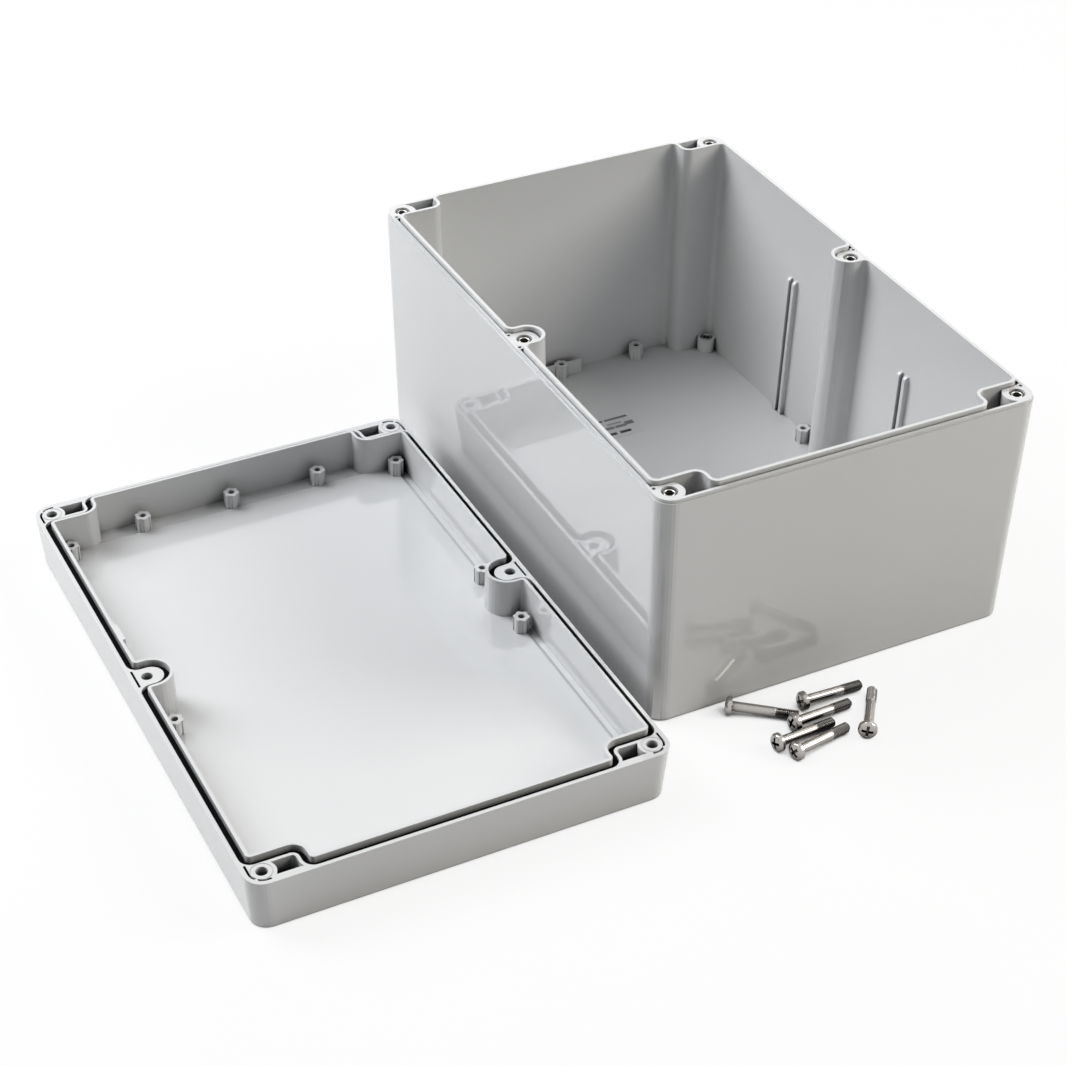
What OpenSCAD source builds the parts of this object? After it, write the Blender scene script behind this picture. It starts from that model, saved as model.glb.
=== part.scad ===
// Moulded two-part enclosure, opened. The base stands upright, the lid lies on its outer
// face beside it, and the six lid screws lie loose. Millimetres, +Z up.
// The origin is the centre of the base's underside.

/* [Enclosure] */
// length over the rims of base and lid
box_l = 240; // [220:1:280]
// width over the rims of base and lid
box_w = 160; // [150:1:200]
// underside of the base to its rim
base_h = 101; // [85:1:130]
// outer face of the lid to its rim
lid_h = 21.8; // [20:0.2:28]
// corner radius in plan at the rims
corner_r = 7; // [6:0.1:8]
// corner radius in plan at the foot of the drafted walls
foot_r = 6.5; // [5.5:0.1:8]
// how far each outer wall of the base leans in at its foot
base_draft = 2.1; // [1:0.1:2.6]
// how far each outer wall of the lid leans in at its foot
lid_draft = 1.5; // [0.8:0.1:2]
// how far each inner wall of the base leans in at the floor
core_draft = 3; // [2:0.1:4]
// how far each inner wall of the lid leans in at the floor
lid_core_draft = 0.6; // [0.3:0.1:1.2]
// rounding of the base's lower edge
base_edge = 1; // [0.5:0.1:2]
// rounding of the edge of the lid's outer face
lid_edge = 0.8; // [0.5:0.1:1.2]
// thickness of the base's floor
base_floor = 3.3; // [2.5:0.1:5]

/* [Rim and seal] */
// set-back of the base's rim from its outer wall
step_in = 0.5; // [0.3:0.1:0.8]
// height of that set-back
step_h = 1.4; // [0.8:0.1:2.5]
// outer wall to the middle of the tongue that presses on the gasket
seal_inset = 2.75; // [2.6:0.05:3]
// thickness of the tongue
tongue_w = 1.3; // [1:0.1:1.5]
// height of the tongue above the rim
tongue_h = 1.8; // [1.3:0.1:2.4]
// width of the trench that runs round the outside of the tongue
moat_w = 0.45; // [0.3:0.05:0.6]
// depth of the trench along the straight walls
moat_d = 0.4; // [0.2:0.1:1]
// depth of the sunk tops of the columns
column_sink = 1.3; // [1:0.1:2]
// side clearance between the tongue and the outer side of the lid's groove
tongue_play = 0.65; // [0.4:0.05:0.8]
// side clearance between the tongue and the lid's lip
lip_play = 0.35; // [0.2:0.05:0.5]
// thickness of the lid's inner lip
lip_w = 1.2; // [0.9:0.1:1.4]
// height of the lip above the lid's rim
lip_h = 1.5; // [0.8:0.1:2]
// depth of the lid's gasket groove
groove_d = 3; // [2.4:0.1:4]
// top of the gasket below the lid's rim
gasket_drop = 1.2; // [0.8:0.1:1.6]
// side clearance of the gasket in its groove
gasket_play = 0.05; // [0.02:0.01:0.15]
// radius of the seal line's corners
seal_fillet = 3; // [2.8:0.1:3.6]
// radius of the seal line round a corner column
post_fillet = 4; // [3.4:0.1:5]

/* [Screw columns] */
// outer wall to the screw axes, both ways
screw_inset = 6.45; // [6.3:0.05:6.8]
// outer end wall to the seal line beside a corner column
corner_col_l = 11.9; // [11.5:0.1:13]
// outer side wall to the seal line in front of a corner column
corner_col_w = 21.9; // [19:0.1:26]
// half width of the seal line's arch round a side column
side_col_half = 6.2; // [6:0.1:7]
// outer side wall to the crown of that arch
side_col_reach = 14; // [13.6:0.1:16]
// radius of the flat round each threaded insert
boss_r = 5.6; // [5.2:0.1:5.8]
// diameter of the locating holes beside the inserts
pin_d = 1.4; // [1:0.1:1.6]
// depth of the locating holes
pin_depth = 3; // [2:0.5:6]
// radius of the flat round a locating hole
pin_flat = 1.5; // [1.2:0.1:1.8]
// screw axis to the locating hole along a side wall, corner columns
corner_pin = 3.7; // [3.2:0.1:4]
// screw axis to the locating holes along a side wall, side columns
side_pin = 4.8; // [4.4:0.1:5]
// screw axis to the locating holes, toward the outer wall
pin_out = 4.25; // [4:0.05:4.3]

/* [Threaded inserts] */
// outer diameter of a threaded insert
insert_od = 5.6; // [5:0.1:6.2]
// minor diameter of its thread
insert_hole = 3.3; // [3:0.1:3.6]
// length of an insert in the rim
insert_l = 8; // [6:0.5:12]
// length of an insert in a floor boss
floor_insert_l = 5; // [4:0.5:6]
// top of a rim insert below the rim
insert_sink = 0.6; // [0.3:0.1:1.2]
// bevel on the lower end of an insert
insert_chamfer = 0.5; // [0.2:0.1:0.6]
// width of the narrow collar round the thread at an insert's upper end
collar_w = 0.5; // [0.45:0.05:0.6]
// height of that collar
collar_h = 1; // [0.6:0.1:1.4]
// bevel on both edges of the collar
collar_bevel = 0.18; // [0.1:0.02:0.2]
// diameter of the blind core below an insert
core_d = 4.2; // [3.8:0.1:4.6]
// depth of that core in the rim columns
core_depth = 14; // [8:1:20]
// depth of that core below a floor insert
floor_core_depth = 1.5; // [0.5:0.1:2]
// how much wider than the insert its mouth is
mouth_extra = 0.6; // [0.4:0.1:0.8]

/* [Wall channels] */
// wall left outside the screw channel in a corner column
chan_wall = 1.7; // [1.4:0.1:2]
// underside to the floor of the channel
chan_floor = 4; // [3:0.5:8]
// hole in the channel's floor for screwing the base to a wall
wall_hole_d = 4.6; // [4:0.1:5]
// end wall to the wall holes
wall_hole_in_l = 7.2; // [7:0.1:7.6]
// side wall to the wall holes
wall_hole_in_w = 17; // [16:0.1:18]

/* [Lid details] */
// outer face of the lid to its inner floor
lid_floor = 7; // [6:0.1:8]
// depth of the gutter round the lid's inner floor
gutter_d = 0.7; // [0.4:0.1:1]
// width of the slope from the floor into the gutter
gutter_slope = 1.6; // [1:0.1:2]
// end wall to the edge of the lid's inner floor
plateau_in_l = 13.5; // [12.5:0.1:15]
// side wall to the edge of the lid's inner floor
plateau_in_w = 9.3; // [8.5:0.1:10]
// depth of the recessed panel in the outer face
panel_d = 3.6; // [2:0.1:4.5]
// end wall to the panel
panel_in_l = 15; // [14:0.5:20]
// side wall to the panel
panel_in_w = 14; // [13.5:0.5:20]
// corner radius of the panel
panel_r = 6; // [3:0.5:10]
// screw hole through the lid
lid_hole_d = 4.3; // [4.2:0.1:4.8]
// well for the screw head
well_d = 7.8; // [7.6:0.1:8]
// depth of the well
well_depth = 4.8; // [3.5:0.1:8]
// radius of the flat round a corner screw hole
lid_boss_r = 5.2; // [4.6:0.1:5.4]
// wall between the gasket groove and a corner pocket
pocket_wall = 1.2; // [1:0.1:1.4]
// outer end wall to a corner pocket
pocket_rim = 3; // [2.6:0.1:3.4]
// depth of a corner pocket
pocket_d = 13.8; // [8:0.2:14]
// width of the slots beside the screw holes
slot_w = 0.9; // [0.7:0.1:1.2]
// screw axis to the middle of a slot, toward the outer wall
slot_out = 4.4; // [4.2:0.1:4.5]
// depth of the slots
slot_d = 10; // [4:0.5:12]
// half length of the slot at a side screw
side_slot_half = 5; // [4:0.1:5.2]
// length of a corner slot from the screw axis, along the side wall
corner_slot_l = 4.8; // [3.6:0.1:5]
// length of a corner slot from the screw axis, along the end wall
corner_slot_w = 1.9; // [1.4:0.1:2.6]
// length of both corner slots past the screw axis, round the corner
corner_slot_end = 2.6; // [1.6:0.1:2.8]
// outer radius of the shallow ring round a corner screw hole
ring_r = 3.9; // [3.6:0.1:4]
// width of that ring
ring_w = 0.25; // [0.2:0.05:0.3]
// depth of that ring
ring_d = 0.2; // [0.1:0.05:0.4]
// middle of the lug on the lip, along the lid's length
lug_x = -27.5; // [-60:0.5:-20]
// length of the lug
lug_l = 10; // [6:0.5:14]
// thickness of the lug
lug_w = 1.2; // [0.8:0.1:1.6]
// height of the lug
lug_h = 4; // [2:0.5:6]

/* [Posts and guides] */
// height of the posts over the floor they stand on
post_h = 6.4; // [5:0.1:8]
// diameter of a ribbed post over its ribs
post_d = 6.4; // [5.6:0.1:7]
// diameter of its core between the ribs
post_core_d = 5.5; // [4.6:0.1:6]
// width of a rib of the post
post_rib = 1.5; // [1:0.1:2]
// screw hole in a post
pilot_d = 2.7; // [2:0.1:3]
// depth of that hole
pilot_depth = 5.4; // [4:0.1:6]
// diameter of the base's corner bosses, which hold inserts
boss_post_d = 8; // [7.4:0.1:8.6]
// end wall to the corner posts
corner_post_in_l = 18.5; // [18:0.1:24]
// side wall to the corner posts
corner_post_in_w = 9.7; // [9.7:0.1:12]
// end wall to the posts along it
end_post_in = 11; // [10.6:0.1:14]
// spacing of those posts
end_post_pitch = 38; // [30:1:42]
// middle of the box to the posts along a side wall
side_post_x = 17.4; // [16:0.1:24]
// side wall to those posts
side_post_in = 10.1; // [9.8:0.1:12]
// length of the wings on the base's middle end posts
wing_l = 6; // [5:0.5:9]
// thickness of the wings
wing_w = 1.2; // [0.8:0.1:1.6]
// diameter of the rounded bead at the end of a wing
wing_bead_d = 1.8; // [1.6:0.1:2.4]
// middle of the box to the circuit board guides
guide_x = 42; // [34:1:60]
// slot between the two ribs of a guide
guide_gap = 2.3; // [1.8:0.1:3]
// width of a guide rib
guide_w = 1.8; // [1.2:0.1:2.4]
// how far a guide rib stands off the wall
guide_d = 1.9; // [1.4:0.1:2.4]
// top of the guides over the underside
guide_top = 68.8; // [40:0.2:75]

/* [Label] */
// length of the label on the base's floor
label_l = 43.5; // [30:0.5:60]
// width of the label
label_w = 16.6; // [12:0.2:20]
// thickness of the label
label_t = 0.12; // [0.08:0.02:0.3]
// middle of the label along the box
label_x = -62; // [-70:0.5:-30]
// middle of the label across the box
label_y = -9.3; // [-20:0.1:20]

/* [Screws] */
// outer diameter of the thread
screw_d = 4; // [3.5:0.1:4]
// diameter of the plain shank
shank_d = 3.8; // [3.4:0.05:3.8]
// length under the head
screw_l = 25; // [20:1:25]
// length of the thread
thread_l = 9; // [7:0.5:16]
// bevel on the tip
tip_chamfer = 0.6; // [0.3:0.1:0.9]
// diameter of the head
head_d = 7.3; // [6.8:0.1:7.4]
// height of the head
head_h = 2.6; // [2.2:0.1:3]
// rounding of the head's outer edge
head_round = 1.5; // [0.8:0.1:1.8]
// length of the cross recess
cross_l = 4.4; // [3.4:0.1:4.4]
// width of a slot of the cross recess
cross_w = 1; // [0.7:0.1:1.2]
// depth of the cross recess
cross_d = 1.6; // [1:0.1:2]

/* [Layout] */
// gap between the base and the lid lying beside it
lid_gap = 10.2; // [6:0.2:60]
// how far the lid lies off the base's middle
lid_shift = 35.7; // [-60:0.1:60]

/* [Hidden] */
$fn = 64;
// coarser arcs for the drafted shells
hull_fn = 32;
// steps of a rounded outer edge
edge_steps = 4;
// thickness of the slices a drafted shell is drawn between
slice = 0.01;
// overlap of cuts and of joined shapes
lap = 1;
half_l = box_l / 2;
half_w = box_w / 2;
seal_x = half_l - seal_inset;
seal_y = half_w - seal_inset;
col_x = half_l - corner_col_l;
jog_y = half_w - corner_col_w;
arch_y = half_w - side_col_reach + side_col_half;
screw_x = half_l - screw_inset;
screw_y = half_w - screw_inset;
corner_post_x = half_l - corner_post_in_l;
corner_post_y = half_w - corner_post_in_w;
end_post_x = half_l - end_post_in;
side_post_y = half_w - side_post_in;
// offsets outward from the seal line
g_tongue = tongue_w / 2;
g_moat = g_tongue + moat_w;
g_groove = g_tongue + tongue_play;
g_lip_out = -g_tongue - lip_play;
g_lip_in = g_lip_out - lip_w;
step_z = base_h - step_h;
core_top = base_h + tongue_h + lap;
core_run = core_top - base_floor;
groove_z = lid_h - groove_d;
gutter_z = lid_floor - gutter_d;
lid_core_top = lid_h + lip_h + lap;
slot_inset = screw_inset - slot_out;
collar_r = insert_hole / 2 + collar_w;
post_top = base_floor + post_h;
corners = [[1, 1], [-1, 1], [-1, -1], [1, -1]];
rim_spots = [for (s = concat(corners, [[0, 1], [0, -1]])) [s[0] * screw_x, s[1] * screw_y]];
// each lying screw: beyond the base's end rim, from its side rim, turn
screw_places = [
  [4.7, 31.4, 56.2],
  [13.8, 57.7, 91.2],
  [23, 48.3, 95.5],
  [30.1, 36.9, 96.4],
  [37.1, 40.5, 101.8],
  [37.6, 70, 142.9]
];
plastic_color = [0.84, 0.85, 0.86];
gasket_color = [0.06, 0.06, 0.07];
label_color = [0.93, 0.93, 0.92];
insert_color = [0.72, 0.62, 0.42];
screw_color = [0.75, 0.75, 0.74];

// inner face of the base's leaning side wall at height z
function base_wall_y(z) = seal_y - g_tongue - core_draft * (core_top - z) / core_run;

// rectangle with rounded corners about the origin
module plate(l, w, r) {
  square([l - 2 * r, w], center = true);
  square([l, w - 2 * r], center = true);
  for (s = corners)
    translate([s[0] * (l / 2 - r), s[1] * (w / 2 - r)])
      circle(r);
}

module both_sides() {
  children();
  mirror([0, 1, 0])
    children();
}

module quarters() {
  both_sides()
    children();
  mirror([1, 0, 0])
    both_sides()
      children();
}

// fills the corner of a square notch to a radius
module notch_fillet(r) {
  difference() {
    translate([-lap, -lap])
      square(r + lap);
    translate([r, r])
      circle(r);
  }
}

// concave flare where a side column meets the wall
module flare(half, leg, r) {
  difference() {
    translate([half - lap, leg - r])
      square(r + lap);
    translate([half + r, leg - r])
      circle(r);
  }
}

// plan of a side column, from its crown to the wall line
module side_island(half, leg, r) {
  circle(half);
  translate([-half, 0])
    square([2 * half, leg + lap]);
  flare(half, leg, r);
  mirror([1, 0])
    flare(half, leg, r);
}

// everything inside the seal line, grown by g
module seal_area(g) {
  difference() {
    union() {
      plate(2 * (col_x + g), 2 * (seal_y + g), seal_fillet + g);
      plate(2 * (seal_x + g), 2 * (jog_y + g), seal_fillet + g);
      quarters()
        translate([col_x + g, jog_y + g])
          notch_fillet(post_fillet - g);
    }
    both_sides()
      translate([0, arch_y])
        side_island(side_col_half - g, seal_y + g - arch_y, seal_fillet + g);
  }
}

// leaning outer shell, standing on z 0 with a rounded lower edge
module drafted_block(h, draft, edge) {
  hull() {
    for (k = [0 : edge_steps]) {
      inset = edge * (1 - sin(90 * k / edge_steps));
      translate([0, 0, edge * (1 - cos(90 * k / edge_steps))])
        linear_extrude(slice)
          plate(box_l - 2 * (draft + inset), box_w - 2 * (draft + inset), foot_r - inset, $fn = hull_fn);
    }
    translate([0, 0, h - slice])
      linear_extrude(slice)
        plate(box_l, box_w, corner_r, $fn = hull_fn);
  }
}

// inner space whose walls lean in toward its floor, drawn down from z top
module drafted_core(g, top, run, draft) {
  translate([0, 0, top])
    mirror([0, 0, 1])
      linear_extrude(run, scale = [1 - draft / (seal_x + g), 1 - draft / (seal_y + g)], slices = 1)
        seal_area(g, $fn = hull_fn);
}

module rim_each() {
  for (p = rim_spots)
    translate(p)
      children();
}

module pin_spots() {
  quarters() {
    translate([screw_x - corner_pin, screw_y + pin_out])
      children();
    translate([side_pin, screw_y + pin_out])
      children();
  }
}

// plan of the trench outside the tongue and of the sunk tops of the columns
module rim_recess() {
  difference() {
    plate(2 * (seal_x + g_moat), 2 * (seal_y + g_moat), seal_fillet + g_moat);
    seal_area(g_tongue);
    difference() {
      union() {
        rim_each()
          circle(boss_r);
        pin_spots()
          circle(pin_flat);
      }
      seal_area(g_moat);
    }
  }
}

// plan of the stretches of the rim where the columns stand
module column_zones() {
  zone_x = col_x - seal_fillet;
  zone_y = jog_y - seal_fillet;
  quarters()
    translate([zone_x, zone_y])
      square([half_l - zone_x, half_w - zone_y]);
  square([2 * (side_col_half + seal_fillet), box_w], center = true);
}

// open channel in one corner column, its outer side parallel to the leaning wall
module wall_channel() {
  intersection() {
    translate([0, 0, chan_floor])
      linear_extrude(base_h)
        difference() {
          translate([col_x, jog_y])
            square([half_l - col_x, screw_y - jog_y]);
          seal_area(g_tongue);
          translate([screw_x, screw_y])
            circle(boss_r);
        }
    translate([half_l - chan_wall, 0, step_z])
      rotate([0, atan(base_draft / step_z), 0])
        translate([-half_l, 0, -1.5 * base_h])
          cube([half_l, half_w, 2 * base_h]);
  }
}

module slim_post(h) {
  linear_extrude(h)
    intersection() {
      circle(d = post_d);
      union() {
        circle(d = post_core_d);
        for (a = [0, 60, 120])
          rotate(a)
            square([post_d, post_rib], center = true);
      }
    }
}

module slim_post_spots() {
  quarters() {
    translate([end_post_x, end_post_pitch, 0])
      children();
    translate([side_post_x, side_post_y, 0])
      children();
  }
  for (s = [1, -1])
    translate([s * end_post_x, 0, 0])
      children();
}

module corner_post_spots() {
  quarters()
    translate([corner_post_x, corner_post_y, 0])
      children();
}

// one rib of a circuit board guide on the +Y wall, rounded off at its top
module guide_rib() {
  foot = base_floor - lap;
  turn_z = guide_top - guide_d;
  rotate([90, 0, 90])
    linear_extrude(guide_w) {
      polygon([
        [base_wall_y(foot) - guide_d, foot],
        [base_wall_y(turn_z) - guide_d, turn_z],
        [base_wall_y(turn_z) + lap, turn_z],
        [base_wall_y(foot) + lap, foot]
      ]);
      translate([base_wall_y(turn_z), turn_z])
        circle(guide_d);
    }
}

module guide_pair() {
  translate([guide_gap / 2, 0, 0])
    guide_rib();
  translate([-guide_gap / 2 - guide_w, 0, 0])
    guide_rib();
}

module base_shell() {
  difference() {
    union() {
      drafted_block(step_z, base_draft, base_edge);
      translate([0, 0, step_z - 2 * lap])
        linear_extrude(step_h + tongue_h + 2 * lap)
          plate(box_l - 2 * step_in, box_w - 2 * step_in, corner_r - step_in);
    }
    translate([0, 0, base_h])
      linear_extrude(tongue_h + lap)
        difference() {
          square([box_l + lap, box_w + lap], center = true);
          seal_area(g_tongue);
        }
    drafted_core(-g_tongue, core_top, core_run, core_draft);
    translate([0, 0, base_h - moat_d])
      linear_extrude(moat_d + lap)
        rim_recess();
    translate([0, 0, base_h - column_sink])
      linear_extrude(column_sink + lap)
        intersection() {
          rim_recess();
          column_zones();
        }
  }
}

module base_posts() {
  translate([0, 0, base_floor - lap]) {
    slim_post_spots()
      slim_post(post_h + lap);
    corner_post_spots()
      cylinder(d = boss_post_d, h = post_h + lap);
    for (s = [1, -1])
      translate([s * end_post_x, 0, 0]) {
        translate([0, 0, (post_h + lap) / 2])
          cube([wing_w, post_d + 2 * wing_l, post_h + lap], center = true);
        both_sides()
          translate([0, post_d / 2 + wing_l, 0])
            cylinder(d = wing_bead_d, h = post_h + lap);
      }
  }
}

module base_bores() {
  rim_each() {
    translate([0, 0, base_h - insert_sink - insert_l])
      cylinder(d = insert_od, h = insert_l);
    translate([0, 0, base_h - insert_sink - collar_h])
      cylinder(d = insert_od + mouth_extra, h = insert_sink + collar_h + lap);
    translate([0, 0, base_h - insert_sink - insert_l - core_depth])
      cylinder(d = core_d, h = core_depth + lap);
  }
  pin_spots()
    translate([0, 0, base_h - pin_depth])
      cylinder(d = pin_d, h = pin_depth + lap, $fn = 32);
  corner_post_spots() {
    translate([0, 0, post_top - floor_insert_l])
      cylinder(d = insert_od, h = floor_insert_l + lap);
    translate([0, 0, post_top - floor_insert_l - floor_core_depth])
      cylinder(d = core_d, h = floor_core_depth + lap);
  }
  slim_post_spots()
    translate([0, 0, post_top - pilot_depth])
      cylinder(d = pilot_d, h = pilot_depth + lap);
  quarters() {
    wall_channel();
    translate([half_l - wall_hole_in_l, half_w - wall_hole_in_w, -lap])
      cylinder(d = wall_hole_d, h = chan_floor + 2 * lap);
  }
}

module base_box() {
  color(plastic_color)
    difference() {
      union() {
        base_shell();
        base_posts();
        both_sides()
          for (s = [1, -1])
            translate([s * guide_x, 0, 0])
              guide_pair();
      }
      base_bores();
    }
}

// plan of the lid inside a line that runs at an inset from its rim
module lid_inset(inset) {
  plate(box_l - 2 * inset, box_w - 2 * inset, corner_r - inset);
}

// slots between the screw bosses and the outer wall, following its corners
module lid_slots() {
  difference() {
    lid_inset(slot_inset - slot_w / 2);
    lid_inset(slot_inset + slot_w / 2);
    difference() {
      square([box_l, box_w], center = true);
      square([2 * side_slot_half, box_w], center = true);
      quarters() {
        translate([screw_x - corner_slot_l, screw_y])
          square([corner_slot_l + corner_slot_end, screw_inset]);
        translate([screw_x, screw_y - corner_slot_w])
          square([screw_inset, corner_slot_w + corner_slot_end]);
      }
    }
  }
}

// ring round each corner screw hole, left out beside the slots
module lid_rings() {
  intersection() {
    quarters()
      translate([screw_x, screw_y])
        difference() {
          circle(ring_r);
          circle(ring_r - ring_w);
        }
    lid_inset(slot_inset + slot_w / 2 + ring_w);
  }
}

module lid_pocket() {
  difference() {
    translate([col_x, jog_y])
      square([half_l - pocket_rim - col_x, screw_y - jog_y]);
    seal_area(g_groove + pocket_wall);
    translate([screw_x, screw_y])
      circle(lid_boss_r);
  }
}

module lid_shell() {
  difference() {
    union() {
      drafted_block(lid_h, lid_draft, lid_edge);
      translate([0, 0, lid_h - lap])
        linear_extrude(lip_h + lap)
          seal_area(g_lip_out);
    }
    drafted_core(g_lip_in, lid_core_top, lid_core_top - gutter_z, lid_core_draft);
    translate([0, 0, groove_z])
      linear_extrude(groove_d + lap)
        difference() {
          seal_area(g_groove);
          seal_area(g_lip_out);
        }
  }
}

// raised middle of the lid's inner floor with sloping edges
module lid_plateau() {
  foot_l = box_l - 2 * plateau_in_l + 2 * gutter_slope * (1 + lap / gutter_d);
  foot_w = box_w - 2 * plateau_in_w + 2 * gutter_slope * (1 + lap / gutter_d);
  top_l = box_l - 2 * plateau_in_l;
  top_w = box_w - 2 * plateau_in_w;
  intersection() {
    translate([0, 0, gutter_z - lap])
      linear_extrude(gutter_d + lap, scale = [top_l / foot_l, top_w / foot_w], slices = 1)
        square([foot_l, foot_w], center = true);
    translate([0, 0, gutter_z - lap])
      linear_extrude(gutter_d + 2 * lap)
        square([2 * seal_x, 2 * seal_y], center = true);
  }
}

module lid_shape() {
  difference() {
    union() {
      lid_shell();
      lid_plateau();
      translate([0, 0, gutter_z - lap]) {
        slim_post_spots()
          slim_post(gutter_d + lap + post_h);
        corner_post_spots()
          slim_post(gutter_d + lap + post_h);
      }
      translate([lug_x - lug_l / 2, -seal_y - g_lip_in - lip_w / 2, lid_h + lip_h - lug_h])
        cube([lug_l, lip_w / 2 + lug_w, lug_h]);
    }
    translate([0, 0, -lap])
      linear_extrude(panel_d + lap)
        plate(box_l - 2 * panel_in_l, box_w - 2 * panel_in_w, panel_r);
    rim_each() {
      translate([0, 0, -lap])
        cylinder(d = lid_hole_d, h = lid_h + 2 * lap);
      translate([0, 0, -lap])
        cylinder(d = well_d, h = well_depth + lap);
    }
    translate([0, 0, lid_h - slot_d])
      linear_extrude(slot_d + lap)
        lid_slots();
    translate([0, 0, lid_h - ring_d])
      linear_extrude(ring_d + lap)
        lid_rings();
    translate([0, 0, lid_h - pocket_d])
      linear_extrude(pocket_d + lap)
        quarters()
          lid_pocket();
    translate([0, 0, lid_floor + post_h - pilot_depth]) {
      slim_post_spots()
        cylinder(d = pilot_d, h = pilot_depth + lap);
      corner_post_spots()
        cylinder(d = pilot_d, h = pilot_depth + lap);
    }
  }
}

module on_lid() {
  translate([lid_shift, -box_w - lid_gap, 0])
    children();
}

module lid() {
  color(plastic_color)
    on_lid()
      lid_shape();
}

module gasket() {
  color(gasket_color)
    on_lid()
      translate([0, 0, groove_z])
        linear_extrude(groove_d - gasket_drop)
          difference() {
            seal_area(g_groove - gasket_play);
            seal_area(g_lip_out + gasket_play);
          }
}

module floor_label() {
  color(label_color)
    translate([label_x - label_w / 2, label_y - label_l / 2, base_floor])
      cube([label_w, label_l, label_t]);
}

// threaded insert with the top of its collar at z 0
module insert(l) {
  rotate_extrude()
    polygon([
      [insert_hole / 2 + collar_bevel, 0],
      [collar_r - collar_bevel, 0],
      [collar_r, -collar_bevel],
      [collar_r, -collar_h],
      [insert_od / 2, -collar_h],
      [insert_od / 2, insert_chamfer - l],
      [insert_od / 2 - insert_chamfer, -l],
      [insert_hole / 2 + insert_chamfer, -l],
      [insert_hole / 2, insert_chamfer - l],
      [insert_hole / 2, -collar_bevel]
    ]);
}

module rim_insert(i) {
  color(insert_color)
    translate([rim_spots[i - 1][0], rim_spots[i - 1][1], base_h - insert_sink])
      insert(insert_l);
}

module floor_insert(i) {
  color(insert_color)
    translate([corners[i - 1][0] * corner_post_x, corners[i - 1][1] * corner_post_y, post_top])
      insert(floor_insert_l);
}

// pan head screw, bearing face at z 0 and tip up at z screw_l
module screw_shape() {
  difference() {
    union() {
      rotate_extrude()
        union() {
          translate([0, -head_h])
            square([head_d / 2 - head_round, head_h]);
          translate([0, head_round - head_h])
            square([head_d / 2, head_h - head_round]);
          intersection() {
            translate([head_d / 2 - head_round, head_round - head_h])
              circle(head_round);
            translate([0, -head_h])
              square([head_d / 2, head_h]);
          }
        }
      translate([0, 0, -lap])
        cylinder(d = shank_d, h = screw_l - thread_l + lap);
      translate([0, 0, screw_l - thread_l])
        cylinder(d = screw_d, h = thread_l - tip_chamfer);
      translate([0, 0, screw_l - tip_chamfer])
        cylinder(d1 = screw_d, d2 = screw_d - 2 * tip_chamfer, h = tip_chamfer);
    }
    for (a = [0, 90])
      rotate(a)
        translate([-cross_l / 2, -cross_w / 2, -head_h - lap])
          cube([cross_l, cross_w, cross_d + lap]);
  }
}

// a screw lying on the ground, touching it with its head and its tip
module lid_screw(i) {
  tilt = atan((head_d - screw_d) / 2 / (screw_l - tip_chamfer));
  p = screw_places[i - 1];
  color(screw_color)
    translate([half_l + p[0], p[1] - half_w, head_d / 2 * cos(tilt)])
      rotate([0, 0, p[2]])
        rotate([0, 90 + tilt, 0])
          screw_shape();
}

base_box();
lid();
gasket();
floor_label();
for (i = [1 : 6])
  rim_insert(i);
for (i = [1 : 4])
  floor_insert(i);
for (i = [1 : 6])
  lid_screw(i);
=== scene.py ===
"""Looks for an opened plastic enclosure: moulded base and lid, gasket, inserts, label and lid screws."""

import math

import bpy
from bpy.props import FloatProperty, FloatVectorProperty, PointerProperty
from mathutils import Matrix, Vector


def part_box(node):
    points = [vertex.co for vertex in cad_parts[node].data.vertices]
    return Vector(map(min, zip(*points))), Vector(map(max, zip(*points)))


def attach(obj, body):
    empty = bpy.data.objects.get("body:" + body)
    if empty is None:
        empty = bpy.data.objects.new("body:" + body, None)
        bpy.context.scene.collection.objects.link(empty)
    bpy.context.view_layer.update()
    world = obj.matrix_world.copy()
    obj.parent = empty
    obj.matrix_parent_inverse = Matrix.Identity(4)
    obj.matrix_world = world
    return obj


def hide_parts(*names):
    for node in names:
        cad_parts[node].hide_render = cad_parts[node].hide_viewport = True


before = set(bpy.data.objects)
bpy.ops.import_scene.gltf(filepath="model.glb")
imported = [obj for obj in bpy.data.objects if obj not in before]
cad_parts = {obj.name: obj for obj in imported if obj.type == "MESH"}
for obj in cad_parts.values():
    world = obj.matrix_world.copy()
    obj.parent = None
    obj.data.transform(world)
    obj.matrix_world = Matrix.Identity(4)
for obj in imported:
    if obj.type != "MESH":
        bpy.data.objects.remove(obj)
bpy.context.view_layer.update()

bl_info = {
    "name": "Sealed enclosure, opened",
    "version": (1, 0, 0),
    "blender": (4, 5, 0),
    "location": "View3D > Sidebar > Enclosure",
    "description": "Dresses the enclosure with moulded plastic, rubber, turned inserts and threaded screws",
    "category": "Object",
}

# Screws lying beside the base: x and y of the bearing face, turn about Z, roll about the screw's own axis
SCREW_PLACES = (
    (0.1247, -0.0486, 56.2, 20.0),
    (0.1338, -0.0223, 91.2, 50.0),
    (0.1430, -0.0317, 95.5, 10.0),
    (0.1501, -0.0431, 96.4, 70.0),
    (0.1571, -0.0395, 101.8, 35.0),
    (0.1576, -0.0100, 142.9, 5.0),
)

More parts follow.
